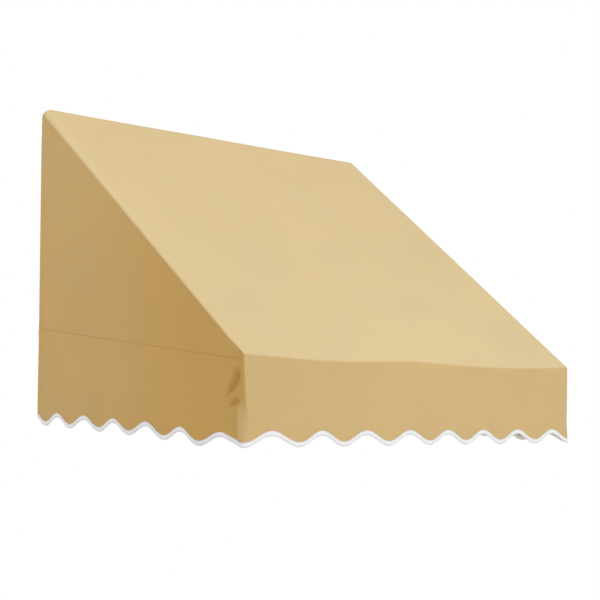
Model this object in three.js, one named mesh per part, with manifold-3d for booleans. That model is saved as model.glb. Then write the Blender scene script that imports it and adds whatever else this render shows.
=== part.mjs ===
// A fixed window awning: a slip-fitted frame of galvanised tube under a sewn cloth cover.
// Millimetres. X runs along the wall, -Y points out of the wall and +Z up.
// The origin is on the wall face of the centre head bracket, level with the head bar.
import * as THREE from 'three';
import { mergeVertices } from 'three/addons/utils/BufferGeometryUtils.js';
import Module from 'manifold-3d';

const wasm = await Module();
wasm.setup();

// ---- driving dimensions -------------------------------------------------------------------

const COVER_WIDTH = 1220; // outside of the cloth, wing to wing
const FRAME_DEPTH = 914; // head bar axis to front bar axis, level
const FRONT_DROP = 741; // head bar axis down to front bar axis
const ARM_DROP = 622; // head bar axis down to the wall end of the side arms
const BAR_OFFSET = 25; // wall to the axes of the head bar and the uprights
const CENTRE_RAFTER_X = -48; // the middle rafter stands beside the centre bracket

const CLOTH = 1.5; // hemmed cloth
const GAP = 0.3; // between pieces that touch
const BEND = 17.2; // inside radius of the cloth where it turns over the bars

const TUBE_RADIUS = 12.7; // 1 in tube
const TUBE_WALL = 1.5;
const SOCKET_RADIUS = 13.3;
const FITTING_RADIUS = 16.5;
const SOCKET_DEPTH = 30;
const TEE_LENGTH = 48;
const SCREW_SEAT = 0.55; // share of a socket's depth at which its set screw enters
const BOSS = { radius: 6, top: 18.5 }; // top is measured from the tube's axis
const SET_SCREW = { radius: 3, hole: 3.6, top: 20, recess: 1.6, recessDepth: 2.5 };
const HEM_SCREW = { washer: 5.5, flange: 1, head: 4, top: 4.4, shank: 2, hole: 2.5, reach: 14 };
const HEAD_SCREWS = [-440, -170, 170, 440]; // places along the head bar
const SIDE_SCREWS = [-130, -310, -480]; // heights on the uprights

const PLATE = { width: 28, thickness: 3, top: 14, bottom: -76, corner: 6 };
const NECK = { width: 20, height: 16 };
const LAG_HOLE_RADIUS = 3.6; // for 1/4 in lag screws
const LAG_HOLES = [-36, -62]; // below the bar
const HEAD_BRACKETS = { left: -505, centre: 0, right: 505 };
const LOWER_BRACKET_Z = -545;

const VALANCE_TIP = 952; // head bar axis down to the lowest cloth edge at the front corners
const REAR_TIP = 899; // the same at the wall, because the side valance tapers
const SCALLOP_HEIGHT = 28; // crest to tip
const FRONT_TABS = [172, 150, 156, 154, 138, 144, 152, 154]; // cut by hand, so not quite even
const SIDE_TABS = [176, 148, 158, 144, 148, 128, 128]; // from the front; the wall cuts the last
const STEPS_PER_TAB = 6;

const BRAID_HEIGHT = 12.7;
const BRAID_THICKNESS = 0.8;

const SKIRT_BOTTOM = -34; // the top panel's hem behind the head bar
const NOTCH = { half: 17, top: 11 }; // cut-out in a hem round a bracket's neck
const FOLD = { width: 44, top: -65, bottom: -570 }; // the wing's hem folded behind the upright
const POCKET_CLOTH = 1.2;
const POCKET_CLEAR = 4; // between a pocket's end and the fitting beside it

const TUBE_SIDES = 20;
const FITTING_SIDES = 16;
const SMALL_SIDES = 8;
const PAST = 2; // how far a cutting tool reaches past a face

// ---- derived places -----------------------------------------------------------------------

const point = (x, y, z) => new THREE.Vector3(x, y, z);
const HALF_WIDTH = COVER_WIDTH / 2;
const WING_INSIDE = HALF_WIDTH - CLOTH;
const SIDE_X = WING_INSIDE - 0.8 - FITTING_RADIUS;
const HEAD_Y = -BAR_OFFSET;
const FRONT_Y = HEAD_Y - FRAME_DEPTH;
const FRONT_Z = -FRONT_DROP;
const ARM_Z = -ARM_DROP;
const OUTER_BEND = BEND + CLOTH;
const REAR_EDGE_Y = HEAD_Y + OUTER_BEND;
const FRONT_FACE_Y = FRONT_Y - OUTER_BEND;
const SIDE_LENGTH = REAR_EDGE_Y - FRONT_FACE_Y;
const SLOPE = Math.atan2(FRONT_DROP, FRAME_DEPTH);
const SLOPE_TANGENT = Math.PI / 2 + SLOPE;

const UP = point(0, 0, 1);
const DOWN = point(0, 0, -1);
const TO_WALL = point(0, 1, 0);
const TO_RIGHT = point(1, 0, 0);
const DOWN_SLOPE = point(0, -FRAME_DEPTH, -FRONT_DROP).normalize();
const UP_SLOPE = DOWN_SLOPE.clone().negate();
const ALONG_ARM = point(0, -FRAME_DEPTH, FRONT_Z - ARM_Z).normalize();
const BACK_ARM = ALONG_ARM.clone().negate();
const SIDES = { left: -1, right: 1 };

// ---- materials ----------------------------------------------------------------------------

const cloth = new THREE.MeshStandardMaterial({ color: 0xd8bf92, roughness: 0.9, metalness: 0 });
const braid = new THREE.MeshStandardMaterial({ color: 0xf0efec, roughness: 0.8, metalness: 0 });
const tubeSteel = new THREE.MeshStandardMaterial({ color: 0xb4b8ba, roughness: 0.4, metalness: 0.9 });
const castZinc = new THREE.MeshStandardMaterial({ color: 0x9fa3a5, roughness: 0.55, metalness: 0.8 });
const screwSteel = new THREE.MeshStandardMaterial({ color: 0x8d9092, roughness: 0.35, metalness: 0.9 });

// ---- solids -------------------------------------------------------------------------------

// Turns a closed three.js geometry into a solid that can be cut and joined.
function solidOf(geometry) {
  const bare = geometry.clone();
  bare.deleteAttribute('normal');
  bare.deleteAttribute('uv');
  const merged = mergeVertices(bare, 1e-4);
  const vertProperties = new Float32Array(merged.attributes.position.array);
  const triVerts = new Uint32Array(merged.index.array);
  return new wasm.Manifold(new wasm.Mesh({ numProp: 3, vertProperties, triVerts }));
}

function geometryOf(solid) {
  const mesh = solid.getMesh();
  const geometry = new THREE.BufferGeometry();
  geometry.setAttribute('position', new THREE.BufferAttribute(mesh.vertProperties, 3));
  geometry.setIndex(new THREE.BufferAttribute(mesh.triVerts, 1));
  geometry.computeVertexNormals();
  return geometry;
}

// A solid rod whose axis runs from start to end.
function rod(radius, start, end, sides = FITTING_SIDES) {
  const axis = end.clone().sub(start);
  const geometry = new THREE.CylinderGeometry(radius, radius, axis.length(), sides);
  geometry.applyQuaternion(new THREE.Quaternion().setFromUnitVectors(TO_WALL, axis.normalize()));
  const middle = start.clone().add(end).multiplyScalar(0.5);
  geometry.translate(middle.x, middle.y, middle.z);
  return solidOf(geometry);
}

// A box between two opposite corners, given in either order.
function block(low, high) {
  const size = high.clone().sub(low);
  const geometry = new THREE.BoxGeometry(Math.abs(size.x), Math.abs(size.y), Math.abs(size.z));
  const middle = low.clone().add(high).multiplyScalar(0.5);
  geometry.translate(middle.x, middle.y, middle.z);
  return solidOf(geometry);
}

const join = (solids) => solids.reduce((whole, next) => whole.add(next));
const cut = (solid, tools) => tools.reduce((rest, tool) => rest.subtract(tool), solid);
const along = (start, direction, distance) => start.clone().addScaledVector(direction, distance);

// Extrudes an outline drawn in Y and Z along X, from x = start.
function extrudeAlongX(outline, start, length) {
  const options = { depth: length, bevelEnabled: false, curveSegments: 6 };
  const geometry = new THREE.ExtrudeGeometry(outline, options);
  geometry.applyMatrix4(new THREE.Matrix4().makeBasis(TO_WALL, UP, TO_RIGHT));
  geometry.translate(start, 0, 0);
  return solidOf(geometry);
}

// Extrudes an outline drawn in X and Z towards -Y, from y = start.
function extrudeOutward(outline, start, length) {
  const options = { depth: length, bevelEnabled: false, curveSegments: 2 };
  const geometry = new THREE.ExtrudeGeometry(outline, options);
  geometry.applyMatrix4(new THREE.Matrix4().makeBasis(TO_RIGHT, UP, point(0, -1, 0)));
  geometry.translate(0, start, 0);
  return solidOf(geometry);
}

const awning = new THREE.Group();

function add(name, solid, material) {
  const mesh = new THREE.Mesh(geometryOf(solid), material);
  mesh.name = name;
  awning.add(mesh);
}

// ---- scalloped edge -----------------------------------------------------------------------

const MEAN_FRONT = -VALANCE_TIP + SCALLOP_HEIGHT / 2;
const MEAN_REAR = -REAR_TIP + SCALLOP_HEIGHT / 2;

// The rise and fall of scallops with these widths, at a distance from the first tab's tip.
function scallop(distance, tabs) {
  let start = 0;
  let tab = 0;
  while (tab < tabs.length - 1 && distance > start + tabs[tab]) {
    start += tabs[tab];
    tab += 1;
  }
  return (-SCALLOP_HEIGHT / 2) * Math.cos(((distance - start) / tabs[tab]) * 2 * Math.PI);
}

// Height of the cloth's lower edge on the front, where a tab's tip falls on each corner.
const frontEdge = (x) => MEAN_FRONT + scallop(x + HALF_WIDTH, FRONT_TABS);

// Height of the lower edge on a side, which rises towards the wall.
function sideEdge(y) {
  const fromFront = y - FRONT_FACE_Y;
  const share = fromFront / SIDE_LENGTH;
  return MEAN_FRONT + share * (MEAN_REAR - MEAN_FRONT) + scallop(fromFront, SIDE_TABS);
}

// Distances along a scalloped edge of this length, in even steps within each tab.
function tabSteps(tabs, length) {
  const steps = [0];
  let start = 0;
  for (const width of tabs) {
    for (let i = 1; i <= STEPS_PER_TAB; i += 1) {
      steps.push(start + (width * i) / STEPS_PER_TAB);
    }
    start += width;
  }
  return [...steps.filter((step) => step < length - 1), length];
}

const FRONT_XS = tabSteps(FRONT_TABS, COVER_WIDTH).map((step) => step - HALF_WIDTH);
const SIDE_YS = tabSteps(SIDE_TABS, SIDE_LENGTH).map((step) => step + FRONT_FACE_Y);

// ---- frame --------------------------------------------------------------------------------

// Where a socket must start so that it clears every other leg of its fitting.
function socketStart(direction, others) {
  const clearances = others.map((other) => SOCKET_RADIUS / Math.tan(direction.angleTo(other) / 2));
  return Math.max(...clearances, SOCKET_RADIUS) + 2;
}

// Adds each leg's socket start. A leg points along `to`, and its set screw comes in along `from`.
function measuredLegs(legs, through) {
  const directions = legs.map((leg) => leg.to);
  const bores = through ? [TO_RIGHT, TO_RIGHT.clone().negate()] : [];
  return legs.map((leg) => {
    const others = [...directions.filter((direction) => direction !== leg.to), ...bores];
    return { ...leg, start: socketStart(leg.to, others) };
  });
}

// A cast slip fitting: a round hub, a socketed leg for each tube and a boss for each set screw.
function slipFitting(name, centre, legs, through = false) {
  const bodies = [solidOf(new THREE.SphereGeometry(FITTING_RADIUS, 12, 8)
    .translate(centre.x, centre.y, centre.z))];
  const bores = [];
  if (through) {
    const half = TEE_LENGTH / 2;
    const ends = (reach) => [along(centre, TO_RIGHT, -reach), along(centre, TO_RIGHT, reach)];
    bodies[0] = rod(FITTING_RADIUS, ...ends(half));
    bores.push(rod(SOCKET_RADIUS, ...ends(half + PAST)));
  }
  for (const leg of measuredLegs(legs, through)) {
    const end = leg.start + SOCKET_DEPTH;
    const base = along(centre, leg.to, leg.start + SOCKET_DEPTH * SCREW_SEAT);
    const socket = [along(centre, leg.to, leg.start), along(centre, leg.to, end + PAST)];
    bodies.push(rod(FITTING_RADIUS, centre, along(centre, leg.to, end)));
    bodies.push(rod(BOSS.radius, base, along(base, leg.from, BOSS.top), SMALL_SIDES));
    bores.push(rod(SOCKET_RADIUS, ...socket));
    bores.push(rod(SET_SCREW.hole, base, along(base, leg.from, BOSS.top + PAST), SMALL_SIDES));
    addSetScrew(`${name}_${leg.tube}_screw`, base, leg.from);
  }
  add(name, cut(join(bodies), bores), castZinc);
}

// A hexagon-socket set screw, tip against the tube.
function addSetScrew(name, base, direction) {
  const { radius, top, recess, recessDepth } = SET_SCREW;
  const at = (height) => along(base, direction, height);
  const body = rod(radius, at(TUBE_RADIUS + GAP), at(top), SMALL_SIDES);
  const hexagon = rod(recess, at(top - recessDepth), at(top + PAST), 6);
  add(name, body.subtract(hexagon), screwSteel);
}

// An open-ended tube with holes drilled through one wall.
function tube(name, start, end, drillings = []) {
  const outside = rod(TUBE_RADIUS, start, end, TUBE_SIDES);
  const axis = end.clone().sub(start).normalize();
  const boreEnds = [along(start, axis, -PAST), along(end, axis, PAST)];
  const bore = rod(TUBE_RADIUS - TUBE_WALL, ...boreEnds, TUBE_SIDES);
  add(name, cut(outside, [bore, ...drillings]), tubeSteel);
}

const END_PLAY = 1; // between a tube's end and the bottom of its socket

// A tube between two fittings, with its ends stopped inside their sockets.
function tubeBetween(name, first, firstStart, second, secondStart, drillings) {
  const axis = second.clone().sub(first).normalize();
  const start = along(first, axis, firstStart + END_PLAY);
  tube(name, start, along(second, axis, -secondStart - END_PLAY), drillings);
}

const HEAD_TEE = point(CENTRE_RAFTER_X, HEAD_Y, 0);
const FRONT_TEE = point(CENTRE_RAFTER_X, FRONT_Y, FRONT_Z);

function cornerCentres(side) {
  return {
    head: point(side * SIDE_X, HEAD_Y, 0),
    front: point(side * SIDE_X, FRONT_Y, FRONT_Z),
    wall: point(side * SIDE_X, HEAD_Y, ARM_Z),
  };
}

const BAR_START = socketStart(TO_RIGHT, [DOWN]);
const STEEP_START = socketStart(DOWN, [DOWN_SLOPE]);
const ACUTE_START = socketStart(UP_SLOPE, [BACK_ARM]);
const WALL_START = socketStart(UP, [ALONG_ARM]);

// ---- screws that hold the cloth's hems to the tubes ---------------------------------------

function hemScrew(name, x, z) {
  const at = (height) => point(x, REAR_EDGE_Y + GAP + height, z);
  const flange = rod(HEM_SCREW.washer, at(0), at(HEM_SCREW.flange), SMALL_SIDES);
  const head = rod(HEM_SCREW.head, at(0), at(HEM_SCREW.top), 6);
  const shank = rod(HEM_SCREW.shank, at(-HEM_SCREW.reach), at(HEM_SCREW.flange), 6);
  add(name, join([flange, head, shank]), screwSteel);
}

function hemScrewHole(x, z) {
  const at = (height) => point(x, REAR_EDGE_Y + GAP + height, z);
  return rod(HEM_SCREW.hole, at(-HEM_SCREW.reach - PAST), at(PAST), 6);
}

// ---- wall brackets ------------------------------------------------------------------------

function roundedPlate() {
  const { top, bottom, corner } = PLATE;
  const side = PLATE.width / 2;
  const outline = new THREE.Shape();
  outline.moveTo(-side, bottom + corner);
  outline.absarc(-side + corner, bottom + corner, corner, Math.PI, 1.5 * Math.PI);
  outline.absarc(side - corner, bottom + corner, corner, 1.5 * Math.PI, 2 * Math.PI);
  outline.absarc(side - corner, top - corner, corner, 0, 0.5 * Math.PI);
  outline.absarc(-side + corner, top - corner, corner, 0.5 * Math.PI, Math.PI);
  return extrudeOutward(outline, 0, PLATE.thickness);
}

// An eye bracket for a bar along X at z = 0: a plate on the wall, a neck and a ring.
function eyeBracket() {
  const ends = (reach) => [point(-reach, HEAD_Y, 0), point(reach, HEAD_Y, 0)];
  const half = PLATE.width / 2;
  const neck = block(
    point(-NECK.width / 2, HEAD_Y + SOCKET_RADIUS, -NECK.height / 2),
    point(NECK.width / 2, -PLATE.thickness / 2, NECK.height / 2),
  );
  const holes = LAG_HOLES.map((z) => rod(
    LAG_HOLE_RADIUS,
    point(0, PAST, z),
    point(0, -PLATE.thickness - PAST, z),
    SMALL_SIDES,
  ));
  const body = join([roundedPlate(), neck, rod(FITTING_RADIUS, ...ends(half))]);
  return cut(body, [rod(SOCKET_RADIUS, ...ends(half + PAST)), ...holes]);
}

function addBrackets() {
  for (const [place, x] of Object.entries(HEAD_BRACKETS)) {
    add(`${place}_head_bracket`, eyeBracket().translate([x, 0, 0]), castZinc);
  }
  for (const [place, side] of Object.entries(SIDES)) {
    const turned = eyeBracket().rotate([0, side * 90, 0]);
    add(`${place}_lower_bracket`, turned.translate([side * SIDE_X, 0, LOWER_BRACKET_Z]), castZinc);
  }
}

function addSideFrame(place, side) {
  const { head, front, wall } = cornerCentres(side);
  const inward = point(-side, 0, 0);
  slipFitting(`${place}_head_corner`, head, [
    { tube: 'bar', to: inward, from: DOWN },
    { tube: 'upright', to: DOWN, from: inward },
    { tube: 'rafter', to: DOWN_SLOPE, from: inward },
  ]);
  slipFitting(`${place}_front_corner`, front, [
    { tube: 'bar', to: inward, from: TO_WALL },
    { tube: 'rafter', to: UP_SLOPE, from: inward },
    { tube: 'arm', to: BACK_ARM, from: inward },
  ]);
  slipFitting(`${place}_wall_corner`, wall, [
    { tube: 'upright', to: UP, from: inward },
    { tube: 'arm', to: ALONG_ARM, from: inward },
  ]);
  const holes = SIDE_SCREWS.map((z) => hemScrewHole(side * SIDE_X, z));
  tubeBetween(`${place}_upright`, head, STEEP_START, wall, WALL_START, holes);
  tubeBetween(`${place}_rafter`, head, STEEP_START, front, ACUTE_START);
  tubeBetween(`${place}_arm`, wall, WALL_START, front, ACUTE_START);
  SIDE_SCREWS.forEach((z, i) => hemScrew(`${place}_hem_screw_${i + 1}`, side * SIDE_X, z));
}

function addMiddleFrame() {
  const left = cornerCentres(-1);
  const right = cornerCentres(1);
  const holes = HEAD_SCREWS.map((x) => hemScrewHole(x, 0));
  tubeBetween('head_bar', left.head, BAR_START, right.head, BAR_START, holes);
  tubeBetween('front_bar', left.front, BAR_START, right.front, BAR_START);
  const middle = TO_RIGHT.clone().negate();
  slipFitting('head_tee', HEAD_TEE, [{ tube: 'rafter', to: DOWN_SLOPE, from: middle }], true);
  slipFitting('front_tee', FRONT_TEE, [{ tube: 'rafter', to: UP_SLOPE, from: middle }], true);
  tubeBetween('centre_rafter', HEAD_TEE, BAR_START, FRONT_TEE, BAR_START);
  HEAD_SCREWS.forEach((x, i) => hemScrew(`head_hem_screw_${i + 1}`, x, 0));
}

// ---- cloth cover --------------------------------------------------------------------------

// The top panel's section: hem, turn over the head bar, slope, turn over the front bar, valance.
function topPanelSection() {
  const outline = new THREE.Shape();
  const below = -VALANCE_TIP - PAST;
  outline.moveTo(HEAD_Y + OUTER_BEND, SKIRT_BOTTOM);
  outline.lineTo(HEAD_Y + OUTER_BEND, 0);
  outline.absarc(HEAD_Y, 0, OUTER_BEND, 0, SLOPE_TANGENT);
  outline.absarc(FRONT_Y, FRONT_Z, OUTER_BEND, SLOPE_TANGENT, Math.PI);
  outline.lineTo(FRONT_Y - OUTER_BEND, below);
  outline.lineTo(FRONT_Y - BEND, below);
  outline.absarc(FRONT_Y, FRONT_Z, BEND, Math.PI, SLOPE_TANGENT, true);
  outline.absarc(HEAD_Y, 0, BEND, SLOPE_TANGENT, 0, true);
  outline.lineTo(HEAD_Y + BEND, SKIRT_BOTTOM);
  return outline;
}

function addTopPanel() {
  const half = WING_INSIDE - GAP;
  const waste = new THREE.Shape();
  waste.moveTo(-HALF_WIDTH, -VALANCE_TIP - 2 * PAST);
  FRONT_XS.forEach((x) => waste.lineTo(x, frontEdge(x)));
  waste.lineTo(HALF_WIDTH, -VALANCE_TIP - 2 * PAST);
  const scallops = extrudeOutward(waste, FRONT_Y, 2 * OUTER_BEND);
  const notches = Object.values(HEAD_BRACKETS).map((x) => block(
    point(x - NOTCH.half, HEAD_Y + BEND / 2, SKIRT_BOTTOM - PAST),
    point(x + NOTCH.half, REAR_EDGE_Y + PAST, NOTCH.top),
  ));
  const holes = HEAD_SCREWS.map((x) => hemScrewHole(x, 0));
  const sheet = extrudeAlongX(topPanelSection(), -half, 2 * half);
  add('top_panel', cut(sheet, [scallops, ...notches, ...holes]), cloth);
}

// Height of the seam that runs along a side arm.
const seamHeight = (y) => ARM_Z + (y - HEAD_Y) * ((ARM_Z - FRONT_Z) / FRAME_DEPTH);

function wingOutline() {
  const outline = new THREE.Shape();
  outline.moveTo(REAR_EDGE_Y, seamHeight(REAR_EDGE_Y) + GAP);
  outline.lineTo(REAR_EDGE_Y, 0);
  outline.absarc(HEAD_Y, 0, OUTER_BEND, 0, SLOPE_TANGENT);
  outline.absarc(FRONT_Y, FRONT_Z, OUTER_BEND, SLOPE_TANGENT, Math.PI);
  outline.lineTo(FRONT_FACE_Y, seamHeight(FRONT_FACE_Y) + GAP);
  return outline;
}

function sideValanceOutline() {
  const outline = new THREE.Shape();
  outline.moveTo(FRONT_FACE_Y, seamHeight(FRONT_FACE_Y));
  SIDE_YS.forEach((y) => outline.lineTo(y, sideEdge(y)));
  outline.lineTo(REAR_EDGE_Y, seamHeight(REAR_EDGE_Y));
  return outline;
}

function addSideCloth(place, side) {
  const start = side > 0 ? WING_INSIDE : -HALF_WIDTH;
  const fold = block(
    point(side * (WING_INSIDE - FOLD.width), REAR_EDGE_Y - CLOTH, FOLD.bottom),
    point(side * (WING_INSIDE + CLOTH / 2), REAR_EDGE_Y, FOLD.top),
  );
  const notchBottom = LOWER_BRACKET_Z - NOTCH.half;
  const notch = block(
    point(side * (WING_INSIDE - FOLD.width - PAST), REAR_EDGE_Y - 2 * CLOTH, notchBottom),
    point(side * (SIDE_X + NOTCH.top), REAR_EDGE_Y + PAST, notchBottom + 2 * NOTCH.half),
  );
  const holes = SIDE_SCREWS.map((z) => hemScrewHole(side * SIDE_X, z));
  const panel = extrudeAlongX(wingOutline(), start, CLOTH);
  add(`${place}_wing`, cut(panel.add(fold.subtract(notch)), holes), cloth);
  add(`${place}_side_valance`, extrudeAlongX(sideValanceOutline(), start, CLOTH), cloth);
}

// A cloth pocket round a bar, with a tail that is sewn to the cover.
function addPocket(name, start, end, tailTowards, tailLength) {
  const axis = end.clone().sub(start).normalize();
  const inner = TUBE_RADIUS + GAP;
  const outside = rod(inner + POCKET_CLOTH, start, end, TUBE_SIDES);
  const bore = rod(inner, along(start, axis, -PAST), along(end, axis, PAST), TUBE_SIDES);
  const across = new THREE.Vector3().crossVectors(axis, tailTowards);
  const length = end.clone().sub(start).length();
  const tail = new THREE.BoxGeometry(length, tailLength, POCKET_CLOTH);
  tail.applyMatrix4(new THREE.Matrix4().makeBasis(axis, tailTowards, across));
  const middle = start.clone().add(end).multiplyScalar(0.5);
  middle.addScaledVector(tailTowards, inner + tailLength / 2);
  tail.translate(middle.x, middle.y, middle.z);
  add(name, outside.add(solidOf(tail)).subtract(bore), cloth);
}

function addPockets() {
  const outward = point(0, -1, 0);
  const cornerEnd = SIDE_X - BAR_START - SOCKET_DEPTH - POCKET_CLEAR;
  const teeEnd = TEE_LENGTH / 2 + POCKET_CLEAR;
  const frontTail = BEND - TUBE_RADIUS - 2 * GAP;
  const onBar = (x) => point(x, FRONT_Y, FRONT_Z);
  const left = [onBar(-cornerEnd), onBar(CENTRE_RAFTER_X - teeEnd)];
  const right = [onBar(CENTRE_RAFTER_X + teeEnd), onBar(cornerEnd)];
  addPocket('left_front_pocket', ...left, outward, frontTail);
  addPocket('right_front_pocket', ...right, outward, frontTail);
  for (const [place, side] of Object.entries(SIDES)) {
    const { front, wall } = cornerCentres(side);
    const start = along(wall, ALONG_ARM, WALL_START + SOCKET_DEPTH + POCKET_CLEAR);
    const end = along(front, BACK_ARM, ACUTE_START + SOCKET_DEPTH + POCKET_CLEAR);
    const sideTail = WING_INSIDE - SIDE_X - TUBE_RADIUS - 2 * GAP;
    addPocket(`${place}_arm_pocket`, start, end, point(side, 0, 0), sideTail);
  }
}

// ---- braid --------------------------------------------------------------------------------

// Stations along the lower edge, from the left wall edge round the front to the right one.
// Each has its place, the outward direction in plan and the edge's height.
function braidStations() {
  const side = HALF_WIDTH - CLOTH / 2;
  const front = FRONT_FACE_Y + CLOTH / 2;
  const sideYs = SIDE_YS.slice(1);
  const corner = (sign) => ({ x: sign * side, y: front, out: [sign, -1], z: frontEdge(HALF_WIDTH) });
  return [
    ...sideYs.toReversed().map((y) => ({ x: -side, y, out: [-1, 0], z: sideEdge(y) })),
    corner(-1),
    ...FRONT_XS.slice(1, -1).map((x) => ({ x, y: front, out: [0, -1], z: frontEdge(x) })),
    corner(1),
    ...sideYs.map((y) => ({ x: side, y, out: [1, 0], z: sideEdge(y) })),
  ];
}

// The tape folded over the cloth edge: a narrow U section swept along the stations.
function addBraid() {
  const slot = CLOTH / 2 + GAP;
  const face = slot + BRAID_THICKNESS;
  const section = [
    [-face, BRAID_HEIGHT], [-face, -GAP - BRAID_THICKNESS], [face, -GAP - BRAID_THICKNESS],
    [face, BRAID_HEIGHT], [slot, BRAID_HEIGHT], [slot, -GAP], [-slot, -GAP], [-slot, BRAID_HEIGHT],
  ];
  const stations = braidStations();
  const positions = stations.flatMap(({ x, y, out, z }) => section.flatMap(
    ([across, up]) => [x + across * out[0], y + across * out[1], z + up],
  ));
  const count = section.length;
  const triangles = [];
  for (let i = 0; i + 1 < stations.length; i += 1) {
    for (let j = 0; j < count; j += 1) {
      const a = i * count + j;
      const b = i * count + ((j + 1) % count);
      triangles.push(a, b + count, b, a, a + count, b + count);
    }
  }
  // The three flat strips that close each end of the U.
  const strips = [[0, 1, 6], [0, 6, 7], [1, 2, 5], [1, 5, 6], [2, 3, 4], [2, 4, 5]];
  const last = (stations.length - 1) * count;
  for (const [a, b, c] of strips) {
    triangles.push(a, b, c, last + a, last + c, last + b);
  }
  const geometry = new THREE.BufferGeometry();
  geometry.setAttribute('position', new THREE.Float32BufferAttribute(positions, 3));
  geometry.setIndex(triangles);
  add('scallop_braid', solidOf(geometry), braid);
}

// ---- assembly -----------------------------------------------------------------------------

addMiddleFrame();
addBrackets();
for (const [place, side] of Object.entries(SIDES)) {
  addSideFrame(place, side);
  addSideCloth(place, side);
}
addTopPanel();
addPockets();
addBraid();

export default awning;
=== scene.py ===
# The looks of a fixed window awning: a sewn cloth cover, its braid, pockets and stitching
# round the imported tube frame. Metres, in the CAD frame: X runs along the wall, -Y points out
# of the wall and +Z up. Distances "out" are measured outwards from a side of the cover.

import math

import bpy
import numpy as np
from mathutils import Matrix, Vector


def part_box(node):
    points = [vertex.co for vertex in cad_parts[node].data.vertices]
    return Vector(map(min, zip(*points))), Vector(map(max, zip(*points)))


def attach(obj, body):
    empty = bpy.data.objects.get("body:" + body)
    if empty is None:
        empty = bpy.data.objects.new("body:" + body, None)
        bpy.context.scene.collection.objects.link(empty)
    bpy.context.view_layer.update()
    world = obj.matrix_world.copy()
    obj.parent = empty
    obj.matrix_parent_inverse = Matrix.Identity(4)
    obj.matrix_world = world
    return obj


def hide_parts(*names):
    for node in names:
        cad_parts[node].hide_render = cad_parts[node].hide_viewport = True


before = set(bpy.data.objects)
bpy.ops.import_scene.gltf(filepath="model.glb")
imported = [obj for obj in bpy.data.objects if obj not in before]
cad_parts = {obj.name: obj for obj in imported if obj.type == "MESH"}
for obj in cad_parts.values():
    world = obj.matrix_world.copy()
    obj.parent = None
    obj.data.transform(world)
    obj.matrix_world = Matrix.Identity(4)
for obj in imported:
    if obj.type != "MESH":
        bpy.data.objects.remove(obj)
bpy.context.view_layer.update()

# ---- measures from the frame ----------------------------------------------------------------


def bar_axis(node):
    """Y and Z of the axis of a bar that runs along X."""
    low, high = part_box(node)
    return (low.y + high.y) / 2, (low.z + high.z) / 2


def middle_x(node):
    low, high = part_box(node)
    return (low.x + high.x) / 2


HEAD_Y, HEAD_Z = bar_axis("head_bar")
FRONT_Y, FRONT_Z = bar_axis("front_bar")
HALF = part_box("right_wing")[1].x  # half the cover's width
FACE_Y, REAR_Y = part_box("right_side_valance")[0].y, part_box("right_side_valance")[1].y
SEAM_REAR_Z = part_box("right_side_valance")[1].z
SEAM_FRONT_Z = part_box("right_wing")[0].z
SKIRT_BOTTOM = HEAD_Z - 0.034
OUTER_BEND = REAR_Y - HEAD_Y
TUBE_RADIUS = 0.0127
RAFTER_XS = [middle_x(node) for node in ("left_rafter", "centre_rafter", "right_rafter")]
BRACKET_XS = [middle_x(f"{place}_head_bracket") for place in ("left", "centre", "right")]

SLOPE = math.atan2(HEAD_Z - FRONT_Z, HEAD_Y - FRONT_Y)
SLOPE_TURN = math.pi / 2 + SLOPE  # turn of the slope's outward normal, from +Y
DOWN_SLOPE = np.array([-math.cos(SLOPE), -math.sin(SLOPE)])  # in Y and Z
SLOPE_NORMAL = np.array([math.cos(SLOPE_TURN), math.sin(SLOPE_TURN)])
SIDES = {"left": -1, "right": 1}

# ---- sizes of the cloth work ----------------------------------------------------------------

CLOTH = 0.0009  # acrylic awning canvas
PLY_GAP = 0.0002  # between two layers that are sewn together
PLY = CLOTH + PLY_GAP
HEM_STEP = 0.0006  # how far a doubled hem stands out
REAR_HEM = 0.015
SEAM_HEM = 0.0098  # height of the wing's lower hem

FRONT_TABS = [0.172, 0.150, 0.156, 0.154, 0.138, 0.144, 0.152, 0.154]
SIDE_TABS = [0.176, 0.148, 0.158, 0.144, 0.148, 0.128, 0.128]
SCALLOP_HEIGHT = 0.028
HEM_SAGS = {-1: 0.0075, 1: 0.003}  # of each side's lower edge, a little behind the front corner
FRONT_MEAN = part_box("top_panel")[0].z + SCALLOP_HEIGHT / 2
REAR_MEAN = FRONT_MEAN + 0.053

HEAD_DIP = 0.001  # between the rafters the cloth dips over the head bar,
SLOPE_SAG = 0.008  # sags down the slope,
SLOPE_RIPPLE = 0.0008  # a little unevenly,
FRONT_DIP = 0.0036  # dips to the front bar
FRONT_BULGE = 0.0050  # and stands off in front of it
FRONT_RIPPLE = 0.0016  # of the valance's free edge
WING_SLACK = 0.0030
WING_RIPPLE = 0.0010
SEAM_SWELL = 0.0012  # of the side valance below its seam
SIDE_RIPPLE = 0.0015  # of the side valance's free edge
FOLD_RADIUS = 0.006  # of the front fold
NOTCH_HALF = 0.017  # half the width of the skirt's notch for a bracket
NOTCH_TURN = math.radians(36)

BRAID_HEIGHT = 0.0127
BRAID_DROP = 0.0011  # of the tape below the cloth's edge
BRAID_TAPE = 0.0007
BRAID_STEP = 0.0020  # between stations along it
BRAID_CLEARANCE = 0.0002
BRAID_UPS = [1.0, 0.985, 0.9, 0.75, 0.55, 0.35, 0.18, 0.06, 0.0]  # shares of its height
BRAID_OUTS = [0.75, 1.0, 1.12, 1.0, 1.0, 1.05, 1.0, 0.7, 0.0]  # shares of its thickness

FOLD_WIDTH = 0.0455  # the wing's hem behind the upright
FOLD_TURN = 0.0014
FOLD_ROWS = (-0.570, -0.562, -0.528, -0.065)  # bottom, notch bottom, notch top, top


def smooth(share):
    """0 to 1 with level ends."""
    share = np.clip(share, 0, 1)
    return share * share * (3 - 2 * share)


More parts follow.
